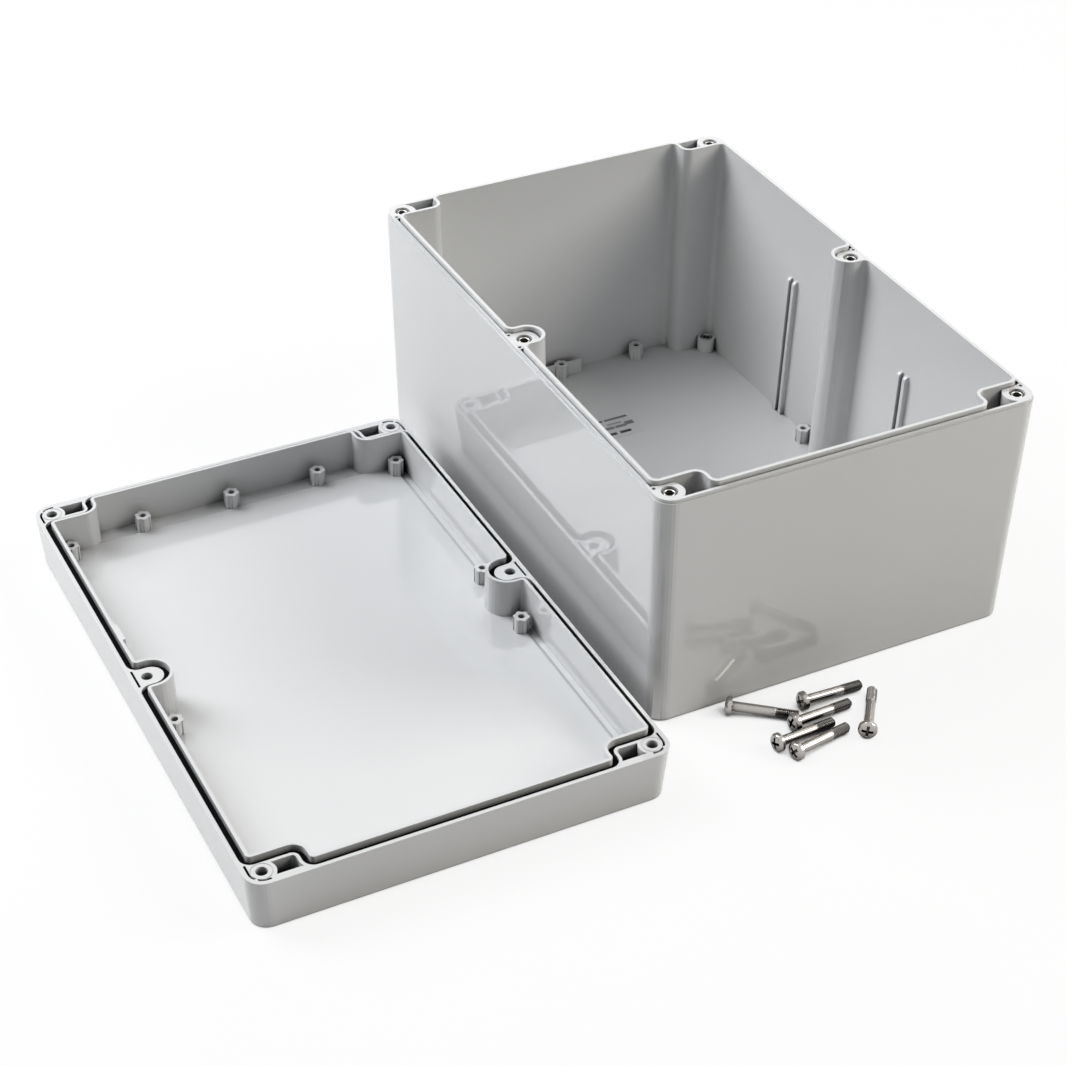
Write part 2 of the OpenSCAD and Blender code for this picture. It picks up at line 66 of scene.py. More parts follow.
# Printed rows on the label: place across its width, strength of the ink, and the bars along its length
PRINT_ROWS = (
    (0.115, 0.205, 0.8, ((0.08, 0.40), (0.43, 0.69), (0.71, 0.965))),
    (0.33, 0.42, 0.45, ((0.10, 0.30), (0.33, 0.66), (0.70, 0.86))),
    (0.40, 0.56, 0.75, ((0.88, 0.975),)),
    (0.48, 0.60, 0.7, ((0.08, 0.26), (0.29, 0.57), (0.60, 0.75), (0.76, 0.88))),
    (0.76, 0.87, 1.0, ((0.10, 0.44), (0.48, 0.725), (0.76, 0.885))),
)

# The point between base and lid that the lamps look at
STAGE_CENTRE = Vector((0.0, -0.08, 0.03))

# Softboxes round the stage: bearing from the front and height in degrees, distance, side and tint
SOFTBOXES = {
    "front": (315, 35, 1.7, 0.9, (0.965, 0.98, 1.0)),
    "high": (315, 62, 1.7, 0.9, (0.965, 0.98, 1.0)),
    "back": (150, 35, 1.7, 0.9, (1.0, 0.965, 0.9)),
    "sheen": (245, 35, 1.7, 1.4, (0.965, 0.98, 1.0)),
}

# Sensor width in millimetres, and the nearest and farthest things that the camera sees
SENSOR_WIDTH = 36.0
CAMERA_CLIP = (0.01, 50.0)

# The two tones that the floor's paper wanders between
FLOOR_TONES = ((0.8, 0.8, 0.8), (0.83, 0.83, 0.83))

# Rays that judge how open a surface is
SKY_RAYS = 8

# How open a surface is where its painted shade is deepest and where it ends, from 0 for closed to 1 for
# open; on the floor, where its glow is gone and where it is full
HOLE_FADE = (0.15, 0.5)
GAP_FADE = (0.12, 0.33)
THREAD_FADE = (0.2, 0.6)
RECESS_FADE = (0.4, 0.98)
FLOOR_FADE = (0.22, 0.45)

# Share of a metal's colour that its painted shade leaves where it is closed in
CLOSED_METAL = 0.04

# Faces of the solids that lie this close are joined before their edges are rounded
WELD_DISTANCE = 0.000002

# Depth of a metric thread, and the flat at its crest and at its root, as shares of the pitch
THREAD_DEPTH = 0.613
THREAD_FLAT = 0.1

# Screws: points round a ring, rings over the head's top and over its rounding
SCREW_SIDES = 96
TOP_RINGS = 22
ROUNDING_RINGS = 8

# Rings in a turn of the screws' thread, and those over which it deepens and rises from the shank
SCREW_TURN_RINGS = 8
SCREW_FADE_RINGS = 8
SCREW_RISE_RINGS = 6

# Chamfer under the head, fillet on the shank below it, and the thread's run-in and chamfer at the tip
HEAD_CHAMFER = 0.0002
SHANK_FILLET = 0.00025
THREAD_END = 0.0006

# Width of the slope at the ends and at the sides of a recess arm, and how far its floor rises outwards
ARM_END_SLOPE = 0.00035
ARM_SIDE_SLOPE = 0.00012
RECESS_TAPER = 0.45

# Inserts: points round a ring, rings in a turn of their thread and those that it deepens over
INSERT_SIDES = 64
INSERT_TURN_RINGS = 6
INSERT_FADE_RINGS = 5

# Depth of an insert's thread, chamfer at its foot, rounding of its collar and the lip over its thread
INSERT_THREAD = 0.0003
INSERT_FOOT = 0.0005
COLLAR_EDGE = 0.00006
COLLAR_LIP = 0.00002

# Share of the collar's width that slopes into the bore, and the slope's bend and drop as shares of that
LEAD_SHARE = 0.55
LEAD_BEND = (0.4, 0.25)
LEAD_DROP = 0.6


# Node helpers


def new_material(name):
    """An empty node material with its shader, as (material, nodes, links, shader)."""
    material = bpy.data.materials.new(name)
    material.use_nodes = True
    nodes, links = material.node_tree.nodes, material.node_tree.links
    shader = nodes["Principled BSDF"]
    return material, nodes, links, shader


def noise(nodes, links, coords, scale, detail=3.0, roughness=0.5):
    """A noise texture on object coordinates."""
    texture = nodes.new("ShaderNodeTexNoise")
    texture.inputs["Scale"].default_value = scale
    texture.inputs["Detail"].default_value = detail
    texture.inputs["Roughness"].default_value = roughness
    links.new(coords, texture.inputs["Vector"])
    return texture.outputs["Fac"]


def ramp(nodes, links, value, low, high, start=0.3, end=0.7):
    """Maps a value between start and end onto the range from low to high."""
    node = nodes.new("ShaderNodeMapRange")
    node.inputs["From Min"].default_value = start
    node.inputs["From Max"].default_value = end
    node.inputs["To Min"].default_value = low
    node.inputs["To Max"].default_value = high
    links.new(value, node.inputs["Value"])
    return node.outputs["Result"]


def calculate(nodes, links, operation, *values):
    """The result of a math node on sockets and plain numbers."""
    node = nodes.new("ShaderNodeMath")
    node.operation = operation
    for socket, value in zip(node.inputs, values):
        if isinstance(value, float):
            socket.default_value = value
        else:
            links.new(value, socket)
    return node.outputs["Value"]


def blend_colors(nodes, links, factor, first, second):
    """Mixes two colours by a factor."""
    node = nodes.new("ShaderNodeMix")
    node.data_type = "RGBA"
    node.inputs["A"].default_value = (*first, 1)
    node.inputs["B"].default_value = (*second, 1)
    links.new(factor, node.inputs["Factor"])
    return node.outputs["Result"]


def shaded(nodes, links, color, factor):
    """A colour darkened by a factor."""
    node = nodes.new("ShaderNodeVectorMath")
    node.operation = "SCALE"
    links.new(color, node.inputs[0])
    links.new(factor, node.inputs["Scale"])
    return node.outputs["Vector"]


def bump(nodes, links, shader, height, strength, distance):
    """Adds surface relief to the shader."""
    node = nodes.new("ShaderNodeBump")
    node.inputs["Strength"].default_value = strength
    node.inputs["Distance"].default_value = distance
    links.new(height, node.inputs["Height"])
    links.new(node.outputs["Normal"], shader.inputs["Normal"])


def open_sky(nodes, reach):
    """1 on open surfaces, less in holes, grooves and corners narrower than the reach."""
    node = nodes.new("ShaderNodeAmbientOcclusion")
    node.samples = SKY_RAYS
    node.inputs["Distance"].default_value = reach
    return node.outputs["AO"]


def inside_mask(nodes, links, coords, low, high, wall):
    """1 within a moulding's walls and 0 on its outer skin, by place."""
    split = nodes.new("ShaderNodeSeparateXYZ")
    links.new(coords, split.inputs["Vector"])
    masks = []
    for axis in (0, 1):
        middle = (low[axis] + high[axis]) / 2
        reach = (high[axis] - low[axis]) / 2 - wall
        masks.append(calculate(nodes, links, "COMPARE", split.outputs[axis], middle, reach))
    return calculate(nodes, links, "MULTIPLY", *masks)


def scaled(color, factor):
    """A colour made lighter or darker, never above full."""
    return tuple(min(1.0, c * factor) for c in color[:3])


# Finishes


def moulded_plastic(name, finish, low, high):
    """Light grey moulded plastic: polished outside, duller within, with painted shade in holes, grooves and
    corners and in narrow gaps.
    """
    material, nodes, links, shader = new_material(name)
    coords = nodes.new("ShaderNodeTexCoord").outputs["Object"]
    flow = ramp(nodes, links, noise(nodes, links, coords, scale=16.0, detail=4.0), low=0.0, high=1.0)
    deep, pale = scaled(finish.plastic_color, 0.985), scaled(finish.plastic_color, 1.01)
    color = blend_colors(nodes, links, flow, deep, pale)
    inside = inside_mask(nodes, links, coords, low, high, finish.skin_depth)
    # Painted shade: the colour darkens in holes, grooves and corners narrower than the hole reach
    hole = ramp(nodes, links, open_sky(nodes, finish.hole_reach), finish.painted_hole_shade, 1.0, *HOLE_FADE)
    # Painted shade: the outer skin darkens where other things close it in, as in the gap between base and
    # lid
    gap = ramp(nodes, links, open_sky(nodes, finish.gap_reach), finish.painted_gap_shade, 1.0, *GAP_FADE)
    outer_painted_shade = calculate(nodes, links, "MAXIMUM", gap, inside)
    # depth is the painted shade of holes and gaps together, which darkens the base colour
    depth = calculate(nodes, links, "MULTIPLY", hole, outer_painted_shade)
    links.new(shaded(nodes, links, color, depth), shader.inputs["Base Color"])
    polish = ramp(nodes, links, inside, finish.outer_roughness, finish.inner_roughness, start=0.0, end=1.0)
    mottle = ramp(nodes, links, noise(nodes, links, coords, scale=240.0, detail=2.0), low=0.9, high=1.12)
    links.new(calculate(nodes, links, "MULTIPLY", polish, mottle), shader.inputs["Roughness"])
    grain = noise(nodes, links, coords, scale=1600.0, detail=3.0, roughness=0.6)
    bump(nodes, links, shader, grain, strength=0.05, distance=0.00001)
    shader.inputs["IOR"].default_value = 1.53
    return material


def soft_rubber(finish):
    """Black foam rubber with a dull skin."""
    material, nodes, links, shader = new_material("soft_rubber")
    coords = nodes.new("ShaderNodeTexCoord").outputs["Object"]
    skin = noise(nodes, links, coords, scale=700.0, detail=4.0, roughness=0.65)
    deep, pale = scaled(finish.rubber_color, 0.6), scaled(finish.rubber_color, 1.5)
    links.new(blend_colors(nodes, links, skin, deep, pale), shader.inputs["Base Color"])
    links.new(ramp(nodes, links, skin, low=0.6, high=0.78), shader.inputs["Roughness"])
    shader.inputs["Specular IOR Level"].default_value = 0.03
    bump(nodes, links, shader, skin, strength=0.35, distance=0.0002)
    return material


def turned_metal(name, color, roughness, line_scale, hole_reach=None, fade=THREAD_FADE):
    """Turned metal with fine tool lines. With a reach, painted shade darkens its colour in recesses and
    close to other things.
    """
    material, nodes, links, shader = new_material(name)
    coords = nodes.new("ShaderNodeTexCoord").outputs["Object"]
    lines = noise(nodes, links, coords, scale=line_scale, detail=2.0, roughness=0.7)
    tone = blend_colors(nodes, links, lines, scaled(color, 0.7), scaled(color, 1.15))
    # Painted shade: the colour darkens where the surface is closed in
    if hole_reach:
        depth = ramp(nodes, links, open_sky(nodes, hole_reach), CLOSED_METAL, 1.0, *fade)
        tone = shaded(nodes, links, tone, depth)
    links.new(tone, shader.inputs["Base Color"])
    gloss = ramp(nodes, links, lines, low=roughness * 0.8, high=roughness * 1.3)
    links.new(gloss, shader.inputs["Roughness"])
    bump(nodes, links, shader, lines, strength=0.12, distance=0.00003)
    shader.inputs["Metallic"].default_value = 1.0
    return material


def printed_paper(finish, corner, size):
    """Grey sticker with dark printed bars placed across its width and length."""
    material, nodes, links, shader = new_material("printed_label")
    coords = nodes.new("ShaderNodeTexCoord").outputs["Object"]
    split = nodes.new("ShaderNodeSeparateXYZ")
    links.new(coords, split.inputs["Vector"])

    def within(axis, low, high):
        """1 between two places along an axis and 0 beyond them."""
        past_low = calculate(nodes, links, "GREATER_THAN", split.outputs[axis], low)
        past_high = calculate(nodes, links, "GREATER_THAN", split.outputs[axis], high)
        return calculate(nodes, links, "SUBTRACT", past_low, past_high)

    ink = None
    for x0, x1, strength, bars in PRINT_ROWS:
        across = within(0, corner.x + x0 * size.x, corner.x + x1 * size.x)
        row = ramp(nodes, links, across, low=0.0, high=strength, start=0.0, end=1.0)
        for y0, y1 in bars:
            along = within(1, corner.y + y0 * size.y, corner.y + y1 * size.y)
            bar = calculate(nodes, links, "MULTIPLY", row, along)
            ink = bar if ink is None else calculate(nodes, links, "MAXIMUM", ink, bar)
    speckle = noise(nodes, links, coords, scale=2600.0, detail=2.0, roughness=0.7)
    worn = ramp(nodes, links, speckle, low=0.75, high=1.0, start=0.35, end=0.5)
    cover = calculate(nodes, links, "MULTIPLY", ink, worn)
    printed = blend_colors(nodes, links, cover, tuple(finish.label_color), tuple(finish.ink_color))
    links.new(printed, shader.inputs["Base Color"])
    fibre = noise(nodes, links, coords, scale=900.0, detail=5.0, roughness=0.6)
    links.new(ramp(nodes, links, fibre, low=0.3, high=0.42), shader.inputs["Roughness"])
    bump(nodes, links, shader, fibre, strength=0.15, distance=0.00005)
    return material


def dress_node(name, material):
    """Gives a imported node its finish."""
    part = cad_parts[name]
    part.data.materials.clear()
    part.data.materials.append(material)
    return part


def soften_edges(part, width, segments, angle):
    """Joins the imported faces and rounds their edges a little, as a moulding's are."""
    weld = part.modifiers.new("weld", "WELD")
    weld.merge_threshold = WELD_DISTANCE
    edges = part.modifiers.new("edges", "BEVEL")
    edges.width = width
    edges.segments = segments
    edges.limit_method = "ANGLE"
    edges.angle_limit = math.radians(angle)
    edges.harden_normals = False
    edges.use_clamp_overlap = True


# Mesh helpers


def ringed_mesh(name, rings, looped=False):
    """A mesh through rings of points, capped at both ends or looped into itself."""
    count = len(rings[0])
    vertices = [point for ring in rings for point in ring]
    faces = []
    last = len(rings) if looped else len(rings) - 1
    for r in range(last):
        a, b = r * count, ((r + 1) % len(rings)) * count
        for s in range(count):
            t = (s + 1) % count
            faces.append((a + s, a + t, b + t, b + s))
    if not looped:
        first, final = len(vertices), len(vertices) + 1
        for ring in (rings[0], rings[-1]):
            vertices.append(tuple(sum(p[i] for p in ring) / count for i in range(3)))
        end = (len(rings) - 1) * count
        for s in range(count):
            t = (s + 1) % count
            faces.append((first, t, s))
            faces.append((final, end + s, end + t))
    mesh = bpy.data.meshes.new(name)
    mesh.from_pydata(vertices, [], faces)
    mesh.update()
    return mesh


def smooth_by_angle(mesh, degrees):
    """Smooth faces with sharp edges above an angle."""
    mesh.shade_smooth()
    mesh.set_sharp_from_angle(angle=math.radians(degrees))


def add_piece(name, mesh, material, slot, *nodes):
    """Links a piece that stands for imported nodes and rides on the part."""
    piece = bpy.data.objects.new(name, mesh)
    bpy.context.scene.collection.objects.link(piece)
    mesh.materials.append(material)
    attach(piece, "root")
    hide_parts(*nodes)


def circle_points(radius, z, count):
    """Points evenly round a circle at a height."""
    return [
        (radius * math.cos(2 * math.pi * s / count), radius * math.sin(2 * math.pi * s / count), z)
        for s in range(count)
    ]


def thread_ring(z, count, crest, depth, pitch, fade):
    """One ring of a thread: the flank height goes round with the helix."""
    ring = []
    for s in range(count):
        turn = s / count
        phase = (z / pitch - turn) % 1.0
        flank = abs(2.0 * phase - 1.0)
        flank = min(1.0, max(0.0, (flank - THREAD_FLAT) / (1.0 - 2.0 * THREAD_FLAT)))
        radius = crest - depth * fade * flank
        angle = 2 * math.pi * turn
        ring.append((radius * math.cos(angle), radius * math.sin(angle), z))
    return ring


def recess_depth(x, y, sizes):
    """How deep the cross recess is at a point of the head."""
    arm, half = sizes.cross_length / 2, sizes.cross_width / 2

    def inside(along, across):
        """1 within an arm of the cross, falling to 0 over the slopes at its rim."""
        edge = min((arm - abs(along)) / ARM_END_SLOPE, (half - abs(across)) / ARM_SIDE_SLOPE)
        return max(0.0, min(1.0, edge))

    cover = max(inside(x, y), inside(y, x))
    floor = 1.0 - RECESS_TAPER * min(1.0, math.hypot(x, y) / arm)
    return sizes.cross_depth * cover * floor


def head_rings(sizes):
    """Rings of a pan head, from the middle of its recess to the rim of its bearing face."""
    head, height, rounding = sizes.head_diameter / 2, sizes.head_height, sizes.head_rounding
    crown, flat = sizes.head_crown, head - rounding
    rings = []
    for r in range(1, TOP_RINGS + 1):
        radius = flat * r / TOP_RINGS
        z = -height + crown * (radius / flat) ** 2
        rings.append([
            (x, y, z + recess_depth(x, y, sizes))
            for x, y, _ in circle_points(radius, z, SCREW_SIDES)
        ])
    for k in range(1, ROUNDING_RINGS + 1):
        angle = math.radians(90 * k / ROUNDING_RINGS)
        radius = flat + rounding * math.sin(angle)
        z = -height + crown + (rounding - crown) * (1 - math.cos(angle))
        share = 1 - k / (ROUNDING_RINGS + 1)
        rings.append([
            (x, y, z + recess_depth(x, y, sizes) * share)
            for x, y, _ in circle_points(radius, z, SCREW_SIDES)
        ])
    rings.append(circle_points(head, -HEAD_CHAMFER, SCREW_SIDES))
    rings.append(circle_points(head - HEAD_CHAMFER, 0.0, SCREW_SIDES))
    return rings


def shank_rings(sizes):
    """Rings of a screw's shank and thread, from under the head to the tip."""
    shank, crest, length = sizes.shank_diameter / 2, sizes.thread_diameter / 2, sizes.screw_length
    start, run = length - sizes.thread_length, sizes.thread_length - THREAD_END
    pitch, depth = sizes.thread_pitch, THREAD_DEPTH * sizes.thread_pitch
    rings = [
        circle_points(shank + HEAD_CHAMFER, 0.0, SCREW_SIDES),
        circle_points(shank, SHANK_FILLET, SCREW_SIDES),
        circle_points(shank, start - THREAD_END, SCREW_SIDES),
    ]
    steps = int(round(run / (pitch / SCREW_TURN_RINGS)))
    for k in range(steps + 1):
        fade = min(1.0, k / SCREW_FADE_RINGS)
        base = shank + (crest - shank) * min(1.0, k / SCREW_RISE_RINGS)
        rings.append(thread_ring(start + run * k / steps, SCREW_SIDES, base, depth, pitch, fade))
    rings.append(circle_points(crest - THREAD_END, length, SCREW_SIDES))
    return rings


def screw_mesh(name, sizes):
    """A pan head machine screw with a cross recess, bearing face at z 0 and tip towards +z."""
    mesh = ringed_mesh(name, head_rings(sizes) + shank_rings(sizes))
    smooth_by_angle(mesh, degrees=38)
    return mesh


def insert_mesh(name, sizes, length, place):
    """A threaded insert with the top of its collar at the given place and a slope into its thread."""
    outer, bore, pitch = sizes.insert_diameter / 2, sizes.insert_bore / 2, sizes.thread_pitch
    collar, step = bore + sizes.collar_width, -sizes.collar_height
    lead = sizes.collar_width * LEAD_SHARE
    bend_in, bend_down = LEAD_BEND
    shoulder = [
        (outer, step),
        (outer - COLLAR_EDGE, step + COLLAR_EDGE),
        (collar, step + COLLAR_EDGE),
    ]
    top = [
        (collar, -COLLAR_EDGE),
        (collar - COLLAR_EDGE, 0.0),
        (bore + lead, 0.0),
        (bore + lead * bend_in, -lead * bend_down),
        (bore + COLLAR_LIP, -lead * LEAD_DROP),
    ]
    rings = [circle_points(radius, z, INSERT_SIDES) for radius, z in shoulder + top]
    polished = range(len(shoulder) * INSERT_SIDES, (len(rings) - 1) * INSERT_SIDES)
    run = length - lead * LEAD_DROP - INSERT_FOOT
    steps = int(run / (pitch / INSERT_TURN_RINGS))
    for k in range(steps + 1):
        z = -lead * LEAD_DROP - run * k / steps
        fade = min(1.0, k / INSERT_FADE_RINGS)
        rings.append(thread_ring(z, INSERT_SIDES, bore + INSERT_THREAD * fade, INSERT_THREAD, pitch, fade))
    rings.append(circle_points(bore + INSERT_FOOT, -length, INSERT_SIDES))
    rings.append(circle_points(outer - INSERT_FOOT, -length, INSERT_SIDES))
    rings.append(circle_points(outer, -length + INSERT_FOOT, INSERT_SIDES))
    mesh = ringed_mesh(name, rings, looped=True)
    mesh.transform(Matrix.Translation(place))
    smooth_by_angle(mesh, degrees=35)
    for face in polished:
        mesh.polygons[face].material_index = 1
    return mesh


# Settings


class EnclosureSizes(bpy.types.PropertyGroup):
    """Sizes of the detail that is drawn here rather than in the solids."""

    thread_diameter: FloatProperty(
        name="Thread", description="Outer diameter of the screws' thread",
        default=0.004, unit="LENGTH", precision=5,
    )
    thread_pitch: FloatProperty(
        name="Pitch", description="Pitch of the thread",
        default=0.0007, unit="LENGTH", precision=5,
    )
    shank_diameter: FloatProperty(
        name="Shank", description="Diameter of the plain shank",
        default=0.0038, unit="LENGTH", precision=5,
    )
    screw_length: FloatProperty(
        name="Length", description="Length under the head",
        default=0.025, unit="LENGTH", precision=5,
    )
    thread_length: FloatProperty(
        name="Threaded length", description="Length of the thread",
        default=0.009, unit="LENGTH", precision=5,
    )
    head_diameter: FloatProperty(
        name="Head", description="Diameter of the head",
        default=0.0073, unit="LENGTH", precision=5,
    )
    head_height: FloatProperty(
        name="Head height", description="Height of the head",
        default=0.0026, unit="LENGTH", precision=5,
    )
    head_rounding: FloatProperty(
        name="Head rounding", description="Rounding of the head's outer edge",
        default=0.0015, unit="LENGTH", precision=5,
    )
    head_crown: FloatProperty(
        name="Head crown", description="Rise of the head's middle over the start of its rounding",
        default=0.0003, unit="LENGTH", precision=5,
    )
    cross_length: FloatProperty(
        name="Cross length", description="Length of the cross recess",
        default=0.0044, unit="LENGTH", precision=5,
    )
    cross_width: FloatProperty(
        name="Cross width", description="Width of an arm of the recess",
        default=0.001, unit="LENGTH", precision=5,
    )
    cross_depth: FloatProperty(
        name="Cross depth", description="Depth of the recess",
        default=0.0016, unit="LENGTH", precision=5,
    )
    insert_diameter: FloatProperty(
        name="Insert", description="Outer diameter of a threaded insert",
        default=0.0056, unit="LENGTH", precision=5,
    )
    insert_bore: FloatProperty(
        name="Insert bore", description="Minor diameter of its thread",
        default=0.0033, unit="LENGTH", precision=5,
    )
    collar_width: FloatProperty(
        name="Collar width", description="Width of the collar round the thread",
        default=0.00046, unit="LENGTH", precision=5,
    )
    collar_height: FloatProperty(
        name="Collar height", description="Height of the collar over the insert's body",
        default=0.001, unit="LENGTH", precision=5,
    )
    edge_softness: FloatProperty(
        name="Edge softness", description="Rounding of the mouldings' edges",
        default=0.00018, unit="LENGTH", precision=5,
    )
    gasket_crown: FloatProperty(
        name="Gasket crown", description="Rounding of the gasket's edges",
        default=0.0003, unit="LENGTH", precision=5,
    )


class EnclosureFinish(bpy.types.PropertyGroup):
    """Colours, gloss and painted shade of the finishes."""

    plastic_color: FloatVectorProperty(
        name="Plastic", description="Colour of base and lid",
        default=(0.62, 0.625, 0.63), subtype="COLOR", min=0, max=1,
    )
    outer_roughness: FloatProperty(
        name="Outer roughness", description="Roughness of the polished outer skin",
        default=0.045, min=0, max=1,
    )
    inner_roughness: FloatProperty(
        name="Inner roughness", description="Roughness inside base and lid",
        default=0.1, min=0, max=1,
    )
    skin_depth: FloatProperty(
        name="Skin depth", description="How far in from the sides the polished skin reaches",
        default=0.003, unit="LENGTH", precision=4,
    )
    # Painted shade in holes: how narrow a hole, groove or corner must be to get it
    hole_reach: FloatProperty(
        name="Hole reach", description="Width up to which holes and grooves look deeper",
        default=0.01, unit="LENGTH", precision=4,
    )
    # Painted shade: share of the colour left where a hole is most closed in
    painted_hole_shade: FloatProperty(
        name="Hole shade", description="Share of the plastic's colour left at the bottom of a hole",
        default=0.06, min=0, max=1,
    )
    # Painted shade on the outer skin: the distance within which other things bring it
    gap_reach: FloatProperty(
        name="Gap reach", description="Distance within which other things shade the outer skin",
        default=0.04, unit="LENGTH", precision=4,
    )
    # Painted shade: share of the outer skin's colour left deep in a narrow gap
    painted_gap_shade: FloatProperty(
        name="Gap shade", description="Share of the outer skin's colour left deep in a narrow gap",
        default=0.3, min=0, max=1,
    )
    rubber_color: FloatVectorProperty(
        name="Rubber", description="Colour of the gasket",
        default=(0.0022, 0.0022, 0.0026), subtype="COLOR", min=0, max=1,
    )
    screw_color: FloatVectorProperty(
        name="Screws", description="Colour of the screws",
        default=(0.5, 0.475, 0.45), subtype="COLOR", min=0, max=1,
    )
    # Painted shade: a near-black copy of the inserts' metal that stands for the shade in their bores
    thread_painted_shade_color: FloatVectorProperty(
        name="Insert threads", description="Colour of the inserts' oiled threads",
        default=(0.05, 0.047, 0.042), subtype="COLOR", min=0, max=1,
    )
    collar_color: FloatVectorProperty(
        name="Collars", description="Colour of the inserts' polished collars",
        default=(0.52, 0.51, 0.49), subtype="COLOR", min=0, max=1,
    )
    label_color: FloatVectorProperty(
        name="Label", description="Colour of the label",
        default=(0.56, 0.57, 0.58), subtype="COLOR", min=0, max=1,
    )
    ink_color: FloatVectorProperty(
        name="Print", description="Colour of the printed bars",
        default=(0.005, 0.005, 0.005), subtype="COLOR", min=0, max=1,
    )


class EnclosureStage(bpy.types.PropertyGroup):
    """Camera, light and background."""

    camera_place: FloatVectorProperty(
        name="Camera", description="Place of the camera",
        default=(0.713769, -0.432604, 0.581592), subtype="TRANSLATION", unit="LENGTH", precision=5,
    )
    camera_turn: FloatVectorProperty(
        name="Camera turn", description="Rotation of the camera",
        default=(math.radians(54.41740), math.radians(-0.59125), math.radians(63.40888)),
        subtype="EULER", precision=5,
    )
    lens: FloatProperty(
        name="Lens", description="Focal length on a 36 mm sensor",
        default=82.34, precision=3,
    )
    front_power: FloatProperty(
        name="Front light", description="Power of the softbox at the front left in watts",
        default=22.5,
    )
    high_power: FloatProperty(
        name="High light", description="Power of the softbox high at the left in watts",
        default=11.2,
    )
    back_power: FloatProperty(
        name="Back light", description="Power of the softbox at the back right in watts",
        default=22.5,
    )
    sheen_power: FloatProperty(
        name="Sheen light", description="Power of the softbox that gives level faces their sheen, in watts",
        default=5.6,
    )
    sky: FloatProperty(
        name="Sky", description="Strength of the surroundings on the object",
        default=0.0,
    )
    glow: FloatProperty(
        name="Glow", description="Share of the floor's white that no shadow darkens",
        default=0.88, min=0, max=1,
    )
    gap_reach: FloatProperty(
        name="Gap reach", description="Distance within which walls take the glow off the floor",
        default=0.03, unit="LENGTH", precision=4,
    )
    floor_size: FloatProperty(
        name="Floor", description="Side of the floor",
        default=12.0, unit="LENGTH",
    )


# Operators


class ENCLOSURE_OT_mouldings(bpy.types.Operator):
    """Finish the moulded base and lid"""

    bl_idname = "enclosure.mouldings"
    bl_label = "Base and lid"

    def execute(self, context):
        scene = context.scene
        for name in ("base_box", "lid"):
            material = moulded_plastic(f"{name}_plastic", scene.enclosure_finish, *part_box(name))
            part = dress_node(name, material)
            soften_edges(part, scene.enclosure_sizes.edge_softness, segments=2, angle=32)
        return {"FINISHED"}


class ENCLOSURE_OT_gasket(bpy.types.Operator):
    """Finish the rubber gasket in the lid's groove"""

    bl_idname = "enclosure.gasket"
    bl_label = "Gasket"

    def execute(self, context):
        scene = context.scene
        part = dress_node("gasket", soft_rubber(scene.enclosure_finish))
        soften_edges(part, scene.enclosure_sizes.gasket_crown, segments=4, angle=50)
        return {"FINISHED"}


class ENCLOSURE_OT_label(bpy.types.Operator):
    """Print bars on the label on the base's floor"""

    bl_idname = "enclosure.label"
    bl_label = "Label"

    def execute(self, context):
        low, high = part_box("floor_label")
        dress_node("floor_label", printed_paper(context.scene.enclosure_finish, low, high - low))
        return {"FINISHED"}


class ENCLOSURE_OT_inserts(bpy.types.Operator):
    """Put threaded inserts in the rim and in the floor bosses"""

    bl_idname = "enclosure.inserts"
    bl_label = "Threaded inserts"

    def execute(self, context):
        scene = context.scene
        finish = scene.enclosure_finish
        # Painted shade: the threads get a near-black copy of the metal that the collars show, darkened
        # further where closed in, for the shade deep in the bores
        thread = turned_metal(
            "oiled_thread", finish.thread_painted_shade_color, roughness=0.3, line_scale=5200.0, hole_reach=0.005
        )
        polished = turned_metal("polished_collar", finish.collar_color, roughness=0.16, line_scale=5200.0)
        for group, count in (("rim_insert", 6), ("floor_insert", 4)):
            for i in range(1, count + 1):
                node = f"{group}_{i}"
                low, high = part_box(node)
                place = Vector(((low.x + high.x) / 2, (low.y + high.y) / 2, high.z))
                mesh = insert_mesh(f"{node}_thread", scene.enclosure_sizes, high.z - low.z, place)
                add_piece(f"{node}_thread", mesh, thread, "insert", node)
                mesh.materials.append(polished)
        return {"FINISHED"}


class ENCLOSURE_OT_screws(bpy.types.Operator):
    """Lay the six threaded screws beside the base"""

    bl_idname = "enclosure.screws"
    bl_label = "Lid screws"

    def execute(self, context):
        scene = context.scene
        sizes = scene.enclosure_sizes
        # Painted shade: the screws darken in their cross recesses and where they lie close to the floor and
        # to each other
        material = turned_metal(
            "plated_screw", scene.enclosure_finish.screw_color,
            roughness=0.13, line_scale=2600.0, hole_reach=0.008, fade=RECESS_FADE,
        )
        rise = (sizes.head_diameter - sizes.thread_diameter) / 2 / (sizes.screw_length - THREAD_END)
        tilt = math.atan(rise)
        for i, (x, y, turn, roll) in enumerate(SCREW_PLACES, start=1):
            node = f"lid_screw_{i}"
            mesh = screw_mesh(f"{node}_thread", sizes)
            place = Matrix.Translation((x, y, sizes.head_diameter / 2 * math.cos(tilt)))
            place @= Matrix.Rotation(math.radians(turn), 4, "Z")
            place @= Matrix.Rotation(math.radians(90) + tilt, 4, "Y")
            place @= Matrix.Rotation(math.radians(roll), 4, "Z")
            mesh.transform(place)
            add_piece(f"{node}_thread", mesh, material, "screw", node)
        return {"FINISHED"}


